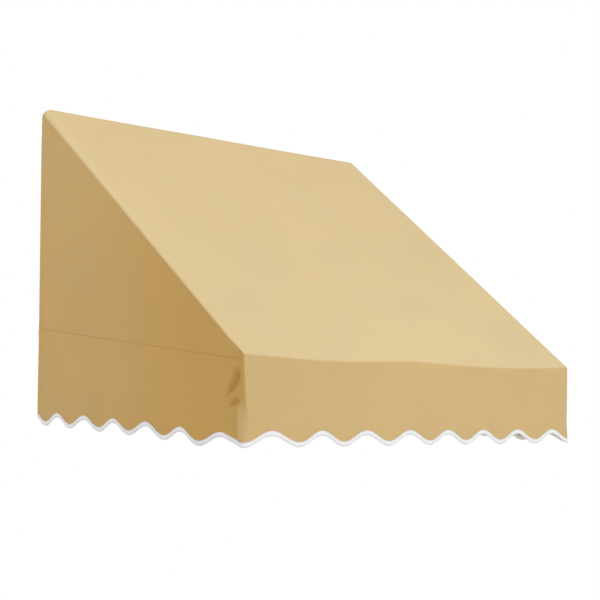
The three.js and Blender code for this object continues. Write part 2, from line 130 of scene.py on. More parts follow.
def ripple(first, second, phase):
    """A soft waviness of about +-1 that doesn't visibly repeat."""
    waves = (
        np.sin(9.1 * first + 4.7 * second + phase)
        + 0.6 * np.sin(19.7 * first - 8.3 * second + 1.7 * phase)
        + 0.35 * np.sin(37.0 * first + 21.0 * second + 2.9 * phase)
    )
    return waves / 1.5


def scallop(distance, tabs):
    """Rise and fall of the lower edge, at a distance from the first tab's tip."""
    widths = np.array(tabs)
    ends = np.cumsum(widths)
    tab = np.clip(np.searchsorted(ends, distance), 0, len(tabs) - 1)
    share = (distance - (ends - widths)[tab]) / widths[tab]
    return -SCALLOP_HEIGHT / 2 * np.cos(2 * math.pi * share)


def front_edge(x):
    return FRONT_MEAN + scallop(x + HALF, FRONT_TABS)


def side_edge(y):
    share = (y - FACE_Y) / (REAR_Y - FACE_Y)
    return FRONT_MEAN + share * (REAR_MEAN - FRONT_MEAN) + scallop(y - FACE_Y, SIDE_TABS)


def hem_sag(back, side):
    """How far a side's lower edge hangs below its line, this far back from the front."""
    return HEM_SAGS[side] * smooth((back - 0.02) / 0.05) * (1 - smooth((back - 0.10) / 0.35))


def seam_z(y):
    """Height of the seam along a side arm."""
    share = (y - FACE_Y) / (REAR_Y - FACE_Y)
    return SEAM_FRONT_Z + share * (SEAM_REAR_Z - SEAM_FRONT_Z)


# ---- mesh helpers ---------------------------------------------------------------------------


def add_object(name, mesh, material):
    mesh.materials.append(material)
    mesh.shade_smooth()
    made = bpy.data.objects.new(name, mesh)
    bpy.context.scene.collection.objects.link(made)
    return made


def mesh_of(name, points, faces, weave):
    """A mesh whose points carry their place in the cloth: across, along and its tone of painted
    light and sun fading.
    """
    mesh = bpy.data.meshes.new(name)
    mesh.from_pydata(points.tolist(), [], faces.tolist())
    attribute = mesh.attributes.new("weave", "FLOAT_VECTOR", "POINT")
    attribute.data.foreach_set("vector", weave.astype(np.float32).ravel())
    return mesh


def thicken(piece, thickness):
    """Gives a sheet its thickness inwards and marks its cut edges sharp."""
    solid = piece.modifiers.new("thickness", "SOLIDIFY")
    solid.thickness = thickness
    solid.offset = -1
    solid.use_even_offset = True
    graph = bpy.context.evaluated_depsgraph_get()
    mesh = bpy.data.meshes.new_from_object(piece.evaluated_get(graph))
    piece.modifiers.clear()
    piece.data = mesh
    mesh.set_sharp_from_angle(angle=math.radians(60))
    return piece


def grid_piece(name, points, weave, material, thickness, keep=None, flip=False):
    """A sheet from a grid of points on its outer face, without the faces that keep leaves out."""
    index = np.arange(points.shape[0] * points.shape[1]).reshape(points.shape[:2])
    corners = [index[:-1, :-1], index[1:, :-1], index[1:, 1:], index[:-1, 1:]]
    quads = np.stack(corners, axis=-1)
    quads = quads.reshape(-1, 4) if keep is None else quads[keep]
    if flip:
        quads = quads[:, ::-1]
    used, faces = np.unique(quads, return_inverse=True)
    mesh = mesh_of(
        name,
        points.reshape(-1, 3)[used],
        faces.reshape(-1, 4),
        weave.reshape(-1, 3)[used],
    )
    return thicken(add_object(name, mesh, material), thickness)


def steps(*stops):
    """Even steps through the stops, given as place, count, place, count, ... place."""
    parts = [
        np.linspace(stops[i], stops[i + 2], stops[i + 1], endpoint=False)
        for i in range(0, len(stops) - 1, 2)
    ]
    return np.concatenate([*parts, [stops[-1]]])


# ---- materials ------------------------------------------------------------------------------


class Tree:
    """Builds the node tree of one material round its Principled shader."""

    def __init__(self, name, **constants):
        self.material = bpy.data.materials.new(name)
        self.material.use_nodes = True
        self.nodes = self.material.node_tree.nodes
        self.links = self.material.node_tree.links
        self.shader = self.nodes["Principled BSDF"]
        for socket, value in constants.items():
            self.shader.inputs[socket.replace("_", " ")].default_value = value

    def feed(self, socket, value):
        if isinstance(value, bpy.types.NodeSocket):
            self.links.new(value, socket)
        else:
            socket.default_value = value

    def node(self, kind, inputs, **settings):
        made = self.nodes.new(kind)
        for name, value in settings.items():
            setattr(made, name, value)
        for name, value in inputs.items():
            self.feed(made.inputs[name], value)
        return made

    def math(self, operation, first, second=0.0):
        return self.node("ShaderNodeMath", {0: first, 1: second}, operation=operation).outputs[0]

    def weave(self):
        """The three numbers of the weave attribute."""
        attribute = self.node("ShaderNodeAttribute", {}, attribute_name="weave")
        return self.node("ShaderNodeSeparateXYZ", {0: attribute.outputs["Vector"]}).outputs

    def place(self):
        return self.node("ShaderNodeTexCoord", {}).outputs["Object"]

    def noise(self, vector, scale, detail=2.0):
        inputs = {"Vector": vector, "Scale": scale, "Detail": detail}
        return self.node("ShaderNodeTexNoise", inputs).outputs["Fac"]

    def stretched_noise(self, first, first_scale, second, second_scale):
        """Noise with its own scale along each of two lengths."""
        scaled = {
            "X": self.math("MULTIPLY", first, first_scale),
            "Y": self.math("MULTIPLY", second, second_scale),
        }
        vector = self.node("ShaderNodeCombineXYZ", scaled).outputs[0]
        return self.noise(vector, 1.0)

    def wave(self, length, pitch):
        """A sine of a length in metres, one turn to a pitch."""
        return self.math("SINE", self.math("MULTIPLY", length, 2 * math.pi / pitch))

    def ramp(self, value, low, high, out_low, out_high):
        inputs = {
            "Value": value,
            "From Min": low,
            "From Max": high,
            "To Min": out_low,
            "To Max": out_high,
        }
        return self.node("ShaderNodeMapRange", inputs).outputs[0]

    def blend(self, share, first, second):
        inputs = {0: share, 6: first, 7: second}
        return self.node("ShaderNodeMix", inputs, data_type="RGBA").outputs[2]

    def total(self, *parts):
        whole = parts[0]
        for part in parts[1:]:
            whole = self.math("ADD", whole, part)
        return whole

    def finish(self, colour, tone, roughness, height, distance):
        """Colour times tone, a roughness and a bump from a height of this distance."""
        toned = self.node("ShaderNodeVectorMath", {0: colour, 3: tone}, operation="SCALE")
        self.links.new(toned.outputs[0], self.shader.inputs["Base Color"])
        self.links.new(roughness, self.shader.inputs["Roughness"])
        bump = self.node("ShaderNodeBump", {"Height": height, "Distance": distance})
        self.links.new(bump.outputs[0], self.shader.inputs["Normal"])
        return self.material


# Painted light: the shaded tone of the sides and the lit, paler tone of the top, which is partly
# sun fading.
CLOTH_SHADED = (0.618, 0.359, 0.086, 1)
CLOTH_LIT_FADED = (0.704, 0.540, 0.272, 1)
THREAD_PITCH = 0.0011


def cloth_material():
    """Plain-woven canvas with slubby yarns, broad mottling, and painted light, partly sun fading,
    that makes it paler where it faces the light.
    """
    tree = Tree("awning_canvas", Sheen_Weight=0.10, Sheen_Roughness=0.45)
    across, along, fade = tree.weave()
    over = tree.math("MULTIPLY", tree.wave(across, THREAD_PITCH), tree.wave(along, THREAD_PITCH))
    warp = tree.stretched_noise(across, 900.0, along, 28.0)
    weft = tree.stretched_noise(across, 28.0, along, 900.0)
    mottle = tree.noise(tree.place(), 5.0, 4.0)
    cloud = tree.noise(tree.place(), 1.7, 1.0)
    # painted light: the third weave number mixes the sides' shaded tone with the top's lit tone
    colour = tree.blend(fade, CLOTH_SHADED, CLOTH_LIT_FADED)
    tone = tree.total(
        tree.ramp(mottle, 0.3, 0.7, 0.975, 1.02),
        tree.ramp(cloud, 0.3, 0.7, -0.015, 0.015),
        tree.ramp(warp, 0.25, 0.75, -0.03, 0.03),
        tree.ramp(weft, 0.25, 0.75, -0.03, 0.03),
        tree.ramp(over, -1.0, 1.0, -0.04, 0.03),
        # painted highlight on the roll and lap, where that number goes past 1
        tree.ramp(fade, 1.0, 1.3, 0.0, 0.2),
    )
    roughness = tree.ramp(mottle, 0.3, 0.7, 0.72, 0.82)
    height = tree.total(over, warp, weft)
    return tree.finish(colour, tone, roughness, height, 0.00012)


def braid_material():
    """White woven tape: fine ribs across it and painted shade that greys it towards each edge."""
    tree = Tree("white_braid", Sheen_Weight=0.15)
    along, height_up, _ = tree.weave()
    rib = tree.wave(along, 0.0016)
    row = tree.wave(height_up, 0.0021)
    middle = tree.math("ABSOLUTE", tree.math("SUBTRACT", height_up, BRAID_HEIGHT * 0.45))
    # painted shade: greyer at the upper edge and at the fold below
    edge = tree.ramp(middle, 0.0030, 0.0066, 0.0, 1.0)
    colour = tree.blend(edge, (0.97, 0.97, 0.98, 1), (0.80, 0.80, 0.81, 1))
    soil = tree.noise(tree.place(), 40.0, 3.0)
    tone = tree.total(
        tree.ramp(soil, 0.3, 0.7, 0.98, 1.03),
        tree.ramp(rib, -1.0, 1.0, -0.04, 0.04),
    )
    roughness = tree.ramp(soil, 0.3, 0.7, 0.70, 0.85)
    height = tree.math("ADD", rib, tree.math("MULTIPLY", rib, row))
    return tree.finish(colour, tone, roughness, height, 0.00015)


def thread_material():
    tree = Tree("sewing_thread", Sheen_Weight=0.2)
    grain = tree.noise(tree.place(), 2600.0, 1.0)
    tone = tree.ramp(grain, 0.3, 0.7, 0.85, 1.08)
    roughness = tree.ramp(grain, 0.3, 0.7, 0.55, 0.75)
    return tree.finish((0.66, 0.52, 0.30), tone, roughness, grain, 0.0001)


def galvanised_material():
    """Hot-dipped tube: a spangle of flat crystals, cloudy roughness and a few dull scuffs."""
    tree = Tree("galvanised_tube", Metallic=0.9)
    place = tree.place()
    cells = tree.node("ShaderNodeTexVoronoi", {"Vector": place, "Scale": 130.0})
    crystal = tree.node("ShaderNodeSeparateXYZ", {0: cells.outputs["Color"]}).outputs[0]
    cloud = tree.noise(place, 18.0, 4.0)
    scuff = tree.ramp(tree.noise(place, 55.0, 5.0), 0.58, 0.68, 0.0, 1.0)
    colour = tree.blend(scuff, (0.60, 0.615, 0.625, 1), (0.40, 0.40, 0.395, 1))
    tone = tree.total(
        tree.ramp(crystal, 0.0, 1.0, 0.86, 1.08),
        tree.ramp(cloud, 0.3, 0.7, -0.06, 0.04),
    )
    roughness = tree.total(
        tree.ramp(crystal, 0.0, 1.0, 0.28, 0.44),
        tree.ramp(scuff, 0.0, 1.0, 0.0, 0.2),
    )
    return tree.finish(colour, tone, roughness, tree.math("ADD", crystal, cloud), 0.0001)


def cast_material():
    """Die-cast fitting: a fine sandy skin with rubbed high spots."""
    tree = Tree("cast_fitting", Metallic=0.75)
    place = tree.place()
    sand = tree.noise(place, 900.0, 3.0)
    cloud = tree.noise(place, 45.0, 4.0)
    colour = tree.blend(cloud, (0.43, 0.44, 0.45, 1), (0.55, 0.56, 0.57, 1))
    tone = tree.ramp(sand, 0.3, 0.7, 0.92, 1.06)
    roughness = tree.ramp(cloud, 0.3, 0.7, 0.44, 0.60)
    return tree.finish(colour, tone, roughness, sand, 0.00025)


def screw_material():
    """Zinc-plated screws with a faint brushed grain."""
    tree = Tree("plated_screw", Metallic=0.95)
    place = tree.place()
    grain = tree.noise(place, 1500.0, 1.0)
    cloud = tree.noise(place, 160.0, 2.0)
    tone = tree.ramp(cloud, 0.3, 0.7, 0.9, 1.06)
    roughness = tree.ramp(grain, 0.3, 0.7, 0.26, 0.42)
    return tree.finish((0.56, 0.56, 0.53), tone, roughness, grain, 0.0001)


CANVAS = cloth_material()
BRAID = braid_material()
THREAD = thread_material()

# ---- shape of the cover ---------------------------------------------------------------------

HEAD_TURNS = steps(0.0, 5, NOTCH_TURN, 12, SLOPE_TURN)
SKIRT_ZS = steps(SKIRT_BOTTOM, 6, HEAD_Z)[:-1]
SLOPE_SHARES = steps(0.0, 58, 1.0)[1:-1]
FOLD_TURNS = steps(SLOPE_TURN, 10, math.pi)
VALANCE_SHARES = steps(0.0, 30, 1.0)[1:]
NOTCH_ROWS = len(SKIRT_ZS) + 5  # rows of faces that a bracket's notch goes through

FOLD_AT = -SKIRT_BOTTOM + OUTER_BEND * SLOPE_TURN + math.hypot(FRONT_Y - HEAD_Y, FRONT_Z)

# The top panel rounds over a rafter, by a turn and down to a crease at a depth on the side, and
# laps down the side below that. Stops are lengths of cloth from the skirt's end.
ROLL_TURN = math.radians(52)
ROLL_END = FOLD_AT - 0.05
ROLL_STOPS = [0.0, 0.034, 0.055, 0.130, 0.155, FOLD_AT - 0.03]
ROLL_DEPTHS = [0.0015, 0.005, 0.0100, 0.0108, 0.014, 0.002]
ROLL_SHARES = {-1: 1.0, 1: 0.2}  # how far each side's edge rounds over its rafter
ROLL_LIT_LENGTH = 2.4  # the roll's cloth length that is painted paler against its shade, for its depth
# Painted light on the roll and the lap, past the top's full tone, where they turn from the light
ROLL_PAINTED_LIGHT = 1.12
LAP_PAINTED_LIGHT = 1.30
LAP_STOPS = [0.0, 0.034, 0.055, 0.080, FOLD_AT - 0.03, FOLD_AT + 0.01]
LAP_DEPTHS = [0.005, 0.008, 0.016, 0.021, 0.005, 0.005]
LEAST_ROLL = 0.0015
LEAST_LAP = 0.005

# Below the front fold the corner is a plain rounded one, with a wider lap on the side.
DROP_STOPS = [0.0, 0.045, 0.110, 0.230]
DROP_RADII = [0.0015, 0.0025, 0.004, 0.007]
DROP_LAPS = [0.005, 0.016, 0.022, 0.023]
# Painted light on the corner's lap low down; higher up it keeps the sides' shaded tone
LOW_LAP_PAINTED_LIGHT = 0.58

# It is drawn inwards there, and the side valance behind it is puckered.
PULL_STOPS = [0.0, 0.03, 0.078, 0.125, 0.147, 0.175, 0.205, 0.23]
PULLS = [0.0, 0.0013, 0.004, 0.008, 0.0105, 0.0065, -0.002, -0.003]
PULL_REACH = 0.08  # along the front from the corner
SIDE_STRENGTH = {-1: 1.0, 1: 0.4}  # how far each front corner is pulled and puckered
PUCKERS = [  # start and end of each crest or groove behind and below the corner, width, height
    ((0.026, 0.014), (0.034, 0.034), 0.0080, 0.0085),
    ((0.016, 0.034), (0.054, 0.082), 0.0080, -0.0104),
    ((0.036, 0.034), (0.070, 0.080), 0.0080, 0.0035),
    ((0.022, 0.086), (0.050, 0.090), 0.0060, 0.0030),
    ((0.017, 0.100), (0.054, 0.112), 0.0070, -0.0092),
    ((0.030, 0.128), (0.060, 0.140), 0.0100, 0.0020),
]

# Painted light, partly sun fading, on the top panel, by the turn of its outward normal and by its
# length of cloth.
LIGHT_FADE_TURNS = [0.0, 1.2, SLOPE_TURN, math.pi]
TURN_LIGHT_FADES = [0.3, 0.8, 1.0, 0.60]
LIGHT_LENGTHS = [0.0, 0.1, FOLD_AT]
LENGTH_LIGHTS = [0.86, 0.88, 1.0]

# Cloth lengths from the corner: fine columns reach the first, and wider ones start at the second.
FINE_COLUMNS = 0.038
WIDE_COLUMNS = 0.044

WING_TUCK = 0.0012  # of the wing's upper edge under the top panel
WING_START = 0.0026  # behind the front of the cover
VALANCE_START = 0.003
HEM_EDGE = 0.0015  # over which a doubled hem's edge rises
HEM_LEVELS = [-0.002, 0.0, 0.003, 0.0065, 0.0085, 0.0105, 0.014]  # rows of points by the seam
TUCK_LEVELS = [0.008, 0.003, 0.0, -0.003, -0.006, -0.010]


def lobe_at(x):
    """How much the cloth sags at x: none on a rafter and 1 half way between two."""
    return np.abs(np.sin(np.interp(x, RAFTER_XS, [0, math.pi, 2 * math.pi])))


def corner_map(along, radius):
    """Places cloth round a corner: how far across the front and how far back it lies.

    The cloth's length along is 0 on the corner, and negative on the lap behind it.
    """
    turn = math.pi / 4 * (1 + np.clip(along / radius, -1, 1))
    across = radius * (1 - np.cos(turn)) + np.maximum(along - radius, 0)
    back = radius * (1 - np.sin(turn)) + np.maximum(-along - radius, 0)
    return across, back


def roll_depth(length, share):
    """How far below the slope a roll's crease lies, at a length of cloth from the skirt's end."""
    return np.maximum(share * np.interp(length, ROLL_STOPS, ROLL_DEPTHS), LEAST_ROLL)


def roll_map(along, depth):
    """Places cloth that rounds over a rafter, down to a crease at this depth on the side."""
    radius = depth / (1 - math.cos(ROLL_TURN))
    turn = ROLL_TURN - np.clip(along / radius, 0, ROLL_TURN)
    flat = np.maximum(along - radius * ROLL_TURN, 0)
    across = radius * (math.sin(ROLL_TURN) - np.sin(turn)) + flat
    back = radius * (1 - np.cos(turn)) + np.maximum(-along, 0)
    return across, back


def corner_inset(back, radius):
    """How far the rounded corner lies inside the side's plane, this far back from the front."""
    short = np.clip(radius - back, 0, radius)
    return radius - np.sqrt(radius**2 - short**2)


def pull_at(drop):
    """How far the front corner is drawn inwards at a height below the front fold."""
    return np.interp(drop, PULL_STOPS, PULLS)


def lap_pull(back, drop):
    """How far the lap leans in from the side's plane, this far back from the corner."""
    return pull_at(drop) * np.clip(1 - back / np.interp(drop, DROP_STOPS, DROP_LAPS), 0, 1)


def pucker(back, drop, strength):
    """Gathered cloth on a side valance: how far it stands out, by place behind and below."""
    out = np.zeros_like(back)
    for start, end, width, height in PUCKERS:
        span = np.array(end) - np.array(start)
        length = np.hypot(*span)
        share = ((back - start[0]) * span[0] + (drop - start[1]) * span[1]) / length**2
        aside = ((back - start[0]) * span[1] - (drop - start[1]) * span[0]) / length
        ends = np.exp(-((np.clip(np.abs(share - 0.5) - 0.25, 0, None) / 0.33) ** 2))
        out += height * np.exp(-((aside / width) ** 2)) * ends
    return strength * out * smooth((back - 0.008) / 0.016)


def section(x, edge_z):
    """Outer face of the top panel for columns at x, row by row from the skirt to the edge.

    Returns Y, Z and the turn of the outward normal from +Y, each as rows by columns.
    """
    lobe = lobe_at(x)
    level = np.zeros_like(x)
    rows = [(REAR_Y + level, z + level, level) for z in SKIRT_ZS]
    for turn in HEAD_TURNS:
        radius = OUTER_BEND - HEAD_DIP * lobe * smooth(turn / SLOPE_TURN)
        y, z = HEAD_Y + radius * math.cos(turn), HEAD_Z + radius * math.sin(turn)
        rows.append((y, z, level + turn))
    start_y, start_z = rows[-1][:2]

    above = OUTER_BEND - FRONT_DIP * lobe
    before = OUTER_BEND + FRONT_BULGE * lobe
    slide = (before + SLOPE_NORMAL[0] * above) / -DOWN_SLOPE[0]
    slide = slide - FOLD_RADIUS * math.tan((math.pi - SLOPE_TURN) / 2)
    end_y = FRONT_Y + SLOPE_NORMAL[0] * above + DOWN_SLOPE[0] * slide
    end_z = FRONT_Z + SLOPE_NORMAL[1] * above + DOWN_SLOPE[1] * slide
    for share in SLOPE_SHARES:
        sag = SLOPE_SAG * lobe * math.sin(math.pi * share**1.1)
        unevenness = SLOPE_RIPPLE * lobe * math.sin(math.pi * share)
        sag = sag + unevenness * ripple(x, 1.2 * share + level, 0.4)
        y = start_y + share * (end_y - start_y) - SLOPE_NORMAL[0] * sag
        z = start_z + share * (end_z - start_z) - SLOPE_NORMAL[1] * sag
        rows.append((y, z, level + SLOPE_TURN))

    centre_y = end_y - SLOPE_NORMAL[0] * FOLD_RADIUS
    centre_z = end_z - SLOPE_NORMAL[1] * FOLD_RADIUS
    for turn in FOLD_TURNS:
        y, z = centre_y + FOLD_RADIUS * math.cos(turn), centre_z + FOLD_RADIUS * math.sin(turn)
        rows.append((y, z, level + turn))
    fold_z = rows[-1][1]
    inside = smooth((HALF - np.abs(x)) / 0.15)
    for share in VALANCE_SHARES:
        hang = FRONT_RIPPLE * inside * share * ripple(x, 0.3 * share + level, 1.9)
        y = FACE_Y - FRONT_BULGE * lobe * (1 - share) ** 2 + hang
        rows.append((y, fold_z + share * (edge_z - fold_z), level + math.pi))
    return tuple(np.array(part) for part in zip(*rows))


def half_columns():
    """Cloth lengths from the corner for one half of the top panel: 6 lap shares, then metres."""
    notch = HALF - abs(BRACKET_XS[0])
    rounding = steps(0.0, 16, FINE_COLUMNS)
    rest = steps(FINE_COLUMNS, 1, WIDE_COLUMNS, 5, notch - NOTCH_HALF, 4, notch + NOTCH_HALF, 46,
                 HALF - NOTCH_HALF, 3, HALF)
    return steps(-1.0, 6, 0.0)[:-1], np.concatenate([rounding, rest[1:]])


def top_panel_grid():
    """Points, cloth places and kept faces of the top panel."""
    laps, fronts = half_columns()
    along = np.concatenate([laps, fronts])
    sign = np.concatenate([-np.ones(len(along)), np.ones(len(along) - 1)])
    along = np.concatenate([along, along[-2::-1]])
    on_lap = along < 0
    nominal_x = sign * (HALF - np.maximum(along, 0))
    lap_y = FACE_Y - along * DROP_LAPS[-1]
    edge_z = np.where(on_lap, side_edge(lap_y), front_edge(nominal_x))
    y, z, turn = section(nominal_x, edge_z)

    length = np.zeros_like(y)
    length[1:] = np.cumsum(np.hypot(np.diff(y, axis=0), np.diff(z, axis=0)), axis=0)
    here = length[:, :1]
    stops = np.append(LAP_STOPS, FOLD_AT + np.array(DROP_STOPS[1:]))
    radius = np.interp(here, stops[-len(DROP_RADII):], DROP_RADII)
    lap = np.interp(here, stops, LAP_DEPTHS + DROP_LAPS[1:])
    rolls = np.where(sign < 0, ROLL_SHARES[-1], ROLL_SHARES[1])
    depth = roll_depth(here, rolls)
    flatness = smooth((here - ROLL_END) / 0.03)
    lap = lap - (1 - rolls) * np.clip(lap - LEAST_LAP, 0, None) * (here < FOLD_AT)
    placed = np.where(on_lap, along * (lap - depth * (1 - flatness)), along)
    across, back = (
        rolled + flatness * (creased - rolled)
        for rolled, creased in zip(roll_map(placed, depth), corner_map(placed, radius))
    )

    strength = np.where(sign < 0, SIDE_STRENGTH[-1], SIDE_STRENGTH[1])
    drop = FRONT_Z - z
    pulled = pull_at(drop) * np.clip(1 - placed / PULL_REACH, 0, 1) ** 2
    pulled = strength * np.where(on_lap, lap_pull(back, drop), pulled)
    out = np.where(on_lap & (drop > 0), pucker(back, drop, strength), 0.0)
    points = np.stack([
        sign * (HALF - across - pulled + out),
        y - np.cos(turn) * back,
        z - np.sin(turn) * back,
    ], axis=-1)

    fade = np.interp(turn, LIGHT_FADE_TURNS, TURN_LIGHT_FADES)
    fade = fade * np.interp(length, LIGHT_LENGTHS, LENGTH_LIGHTS)
    # Painted light on the lap and roll: the lap is lighter low down, and the roll is painted
    # paler than its shade.
    lap_light = LOW_LAP_PAINTED_LIGHT * smooth((drop - 0.09) / 0.05)
    creased = lap_light + (fade - lap_light) * np.interp(placed, [-0.0008, 0.0008], [0.0, 1.0])
    roll_light = np.clip(1 - placed / (ROLL_LIT_LENGTH * depth), 0, 1)
    rolled = fade + (np.where(on_lap, LAP_PAINTED_LIGHT, ROLL_PAINTED_LIGHT) - fade) * roll_light
    fade = rolled + flatness * (creased - rolled)
    weave = np.stack([sign * (HALF - placed), length, fade], axis=-1)

    keep = np.ones((points.shape[0] - 1, points.shape[1] - 1), bool)
    middles = (nominal_x[1:] + nominal_x[:-1]) / 2
    for x in BRACKET_XS:
        keep[:NOTCH_ROWS, np.abs(middles - x) < NOTCH_HALF] = False
    return points, weave, keep


def side_light(y, z):
    """Painted light on the sides: less than on the top, and least of all towards the front."""
    return 0.23 * smooth((y - FACE_Y - 0.15) / 0.6) + 0.08 * smooth((z + 0.6) / 0.5)


def hem_start(back):
    """0 to 1 where the wing's lower hem comes out from under the top panel's lap."""
    return smooth((back - 0.010) / 0.012)


def wing_top(side):
    """The wing's upper edge, tucked under the top panel's lap, as Y going back and Z."""
    corner = np.array([-HALF])
    y, z, turn = section(corner, front_edge(corner))
    y, z, turn = y[:, 0], z[:, 0], turn[:, 0]
    length = np.append(0, np.cumsum(np.hypot(np.diff(y), np.diff(z))))
    tuck = roll_depth(length, ROLL_SHARES[side]) + WING_TUCK
    rows = slice(len(SKIRT_ZS), -len(VALANCE_SHARES))
    y, z = (y - np.cos(turn) * tuck)[rows], (z - np.sin(turn) * tuck)[rows]
    order = np.argsort(y)
    return y[order], z[order]


def wing_grid(side):
    """Points, cloth places and kept faces of a wing with its folded rear hem."""
    edge_y, edge_z = wing_top(side)
    flat_end = REAR_Y - FOLD_TURN
    ys = steps(FACE_Y + WING_START, 12, FACE_Y + 0.05, 62, flat_end - REAR_HEM, 1,
               flat_end - REAR_HEM + 0.001, 6, flat_end)
    low = seam_z(ys)
    high = np.maximum(np.interp(ys, edge_y, edge_z), low + 0.003)
    hem_rows = low + np.array(HEM_LEVELS)[:, None] * np.minimum(1, (high - low) / 0.03)
    bottom, notch_low, notch_high, top = (
        (z - hem_rows[-1, -1]) / (high[-1] - hem_rows[-1, -1]) for z in FOLD_ROWS
    )
    shares = steps(0.0, 3, bottom, 1, notch_low, 3, notch_high, 36, top, 6, 1.0)[1:]
    z = np.concatenate([hem_rows, hem_rows[-1] + shares[:, None] * (high - hem_rows[-1])])
    y = np.tile(ys, (len(z), 1))

    up, behind = (z - low) / (high - low), (ys - ys[0]) / (ys[-1] - ys[0])
    slack = smooth(4 * up * (1 - up)) * smooth(4 * behind * (1 - behind))
    out = -PLY + slack * (WING_SLACK + WING_RIPPLE * ripple(y, z, 3.1 + side))
    below_lap = smooth((high - z) / 0.02 - 2.5)
    rear_hem = smooth((ys - (flat_end - REAR_HEM - 0.0005)) / HEM_EDGE) * below_lap
    seam_hem = smooth((SEAM_HEM - (z - low)) / 0.002) * hem_start(ys - FACE_Y)
    out = out + np.maximum(HEM_STEP * rear_hem, PLY * seam_hem)

    turns = steps(0.0, 4, math.pi / 2)[1:]
    inward = steps(FOLD_TURN, 6, FOLD_WIDTH)[1:]
    fold_in = np.concatenate([FOLD_TURN * (1 - np.cos(turns)), inward])
    fold_y = flat_end + np.concatenate([FOLD_TURN * np.sin(turns), 0 * inward + FOLD_TURN])
    x = side * (HALF + np.concatenate([out, out[:, -1:] - fold_in], axis=1))
    y = np.concatenate([y, np.tile(fold_y, (len(z), 1))], axis=1)
    z = np.concatenate([z, np.tile(z[:, -1:], (1, len(fold_in)))], axis=1)

    extra = np.arange(len(fold_in)) * 0.008
    cloth_y = np.tile(np.concatenate([ys, ys[-1] + extra]), (len(z), 1))
    # the third number is the sides' painted light
    weave = np.stack([cloth_y, z, side_light(y, z)], axis=-1)

    keep = np.ones((z.shape[0] - 1, z.shape[1] - 1), bool)
    middles = (z[1:, -1] + z[:-1, -1]) / 2
    bottom_z, notch_low_z, notch_high_z, top_z = FOLD_ROWS
    folded = (middles > bottom_z) & (middles < top_z)
    notched = (middles > notch_low_z) & (middles < notch_high_z)
    keep[:, len(ys) - 1:] = folded[:, None]
    keep[notched, len(ys) + 4:] = False
    return np.stack([x, y, z], axis=-1), weave, keep


def side_valance_grid(side):
    """Points and cloth places of a side valance, tucked under the wing and the front lap."""
    ys = steps(FACE_Y + VALANCE_START, 32, FACE_Y + 0.09, 80, REAR_Y - REAR_HEM - FOLD_TURN, 1,
               REAR_Y - REAR_HEM - FOLD_TURN + 0.001, 6, REAR_Y - FOLD_TURN)
    seam, edge = seam_z(ys), side_edge(ys) - hem_sag(ys - FACE_Y, side)
    tuck_rows = seam + np.array(TUCK_LEVELS)[:, None]
    shares = steps(0.0, 60, 1.0)[1:]
    z = np.concatenate([tuck_rows, tuck_rows[-1] + shares[:, None] * (edge - tuck_rows[-1])])
    y = np.tile(ys, (len(z), 1))

    back, drop = y - FACE_Y, FRONT_Z - z
    radius = np.interp(drop, DROP_STOPS, DROP_RADII)
    below = seam - z
    tuck = PLY * (1 - smooth(below / 0.007)) * (1 - hem_start(back))
    swell = smooth((below - 0.0035) / 0.006) * (1 - smooth((below - 0.010) / 0.03))
    swell = SEAM_SWELL * swell * smooth(back / 0.05 - 0.4)
    strength = SIDE_STRENGTH[side]
    short = np.clip(1 - back / radius, 0, 0.85)
    out = swell - PLY / np.sqrt(1 - short**2) - corner_inset(back, radius) - tuck
    out = out + pucker(back, drop, strength) - strength * lap_pull(back, drop)
    hang = smooth(below / 0.2) * smooth(back / 0.2)
    out = out + hang * SIDE_RIPPLE * (1 + ripple(y, 0.4 * z, 5.3 + side))
    rear_hem = smooth((back - (ys[-1] - FACE_Y - REAR_HEM)) / HEM_EDGE)
    out = out + HEM_STEP * rear_hem * smooth(below / 0.01)
    points = np.stack([side * (HALF + out), y, z], axis=-1)
    # Painted light of the side, with painted shade in a strip just under the wing's hem
    fade = side_light(y, z) * smooth(below / 0.006)
    return points, np.stack([y, z, fade], axis=-1)


# ---- stitching ------------------------------------------------------------------------------

STITCH = 0.0042
STITCH_PITCH = 0.0062
THREAD_RADIUS = 0.0003
THREAD_LIFT = 0.0002
BRAID_ROWS = (0.0092, 0.0014)  # rows of stitches below the braid's upper edge


def resampled(path, pitch):
    """Points at an even pitch along a path."""
    lengths = np.append(0, np.cumsum(np.linalg.norm(np.diff(path, axis=0), axis=1)))
    places = np.arange(pitch / 2, lengths[-1] - pitch / 2, pitch)
    return np.stack([np.interp(places, lengths, path[:, i]) for i in range(3)], axis=1)


def stitch_row(path, outward):
    """Corner points and faces of one row of stitches, each a thin closed spindle."""
    centres = resampled(path, STITCH_PITCH)
    ahead = np.gradient(centres, axis=0)
    ahead /= np.linalg.norm(ahead, axis=1, keepdims=True)
    out = np.broadcast_to(np.asarray(outward, float), centres.shape)
    aside = np.cross(ahead, out)
    aside /= np.linalg.norm(aside, axis=1, keepdims=True)
    lift = np.cross(aside, ahead)
    centres = centres + THREAD_RADIUS * 0.4 * lift
    ends = [centres - ahead * STITCH / 2, centres + ahead * STITCH / 2]
    ring = [centres + THREAD_RADIUS * direction for direction in (aside, lift, -aside, -lift)]
    points = np.stack([*ends, *ring], axis=1)
    first = np.array([[0, 3, 2], [0, 4, 3], [0, 5, 4], [0, 2, 5]])
    second = np.array([[1, 2, 3], [1, 3, 4], [1, 4, 5], [1, 5, 2]])
    faces = np.concatenate([first, second]) + 6 * np.arange(len(centres))[:, None, None]
    return points.reshape(-1, 3), faces.reshape(-1, 3)


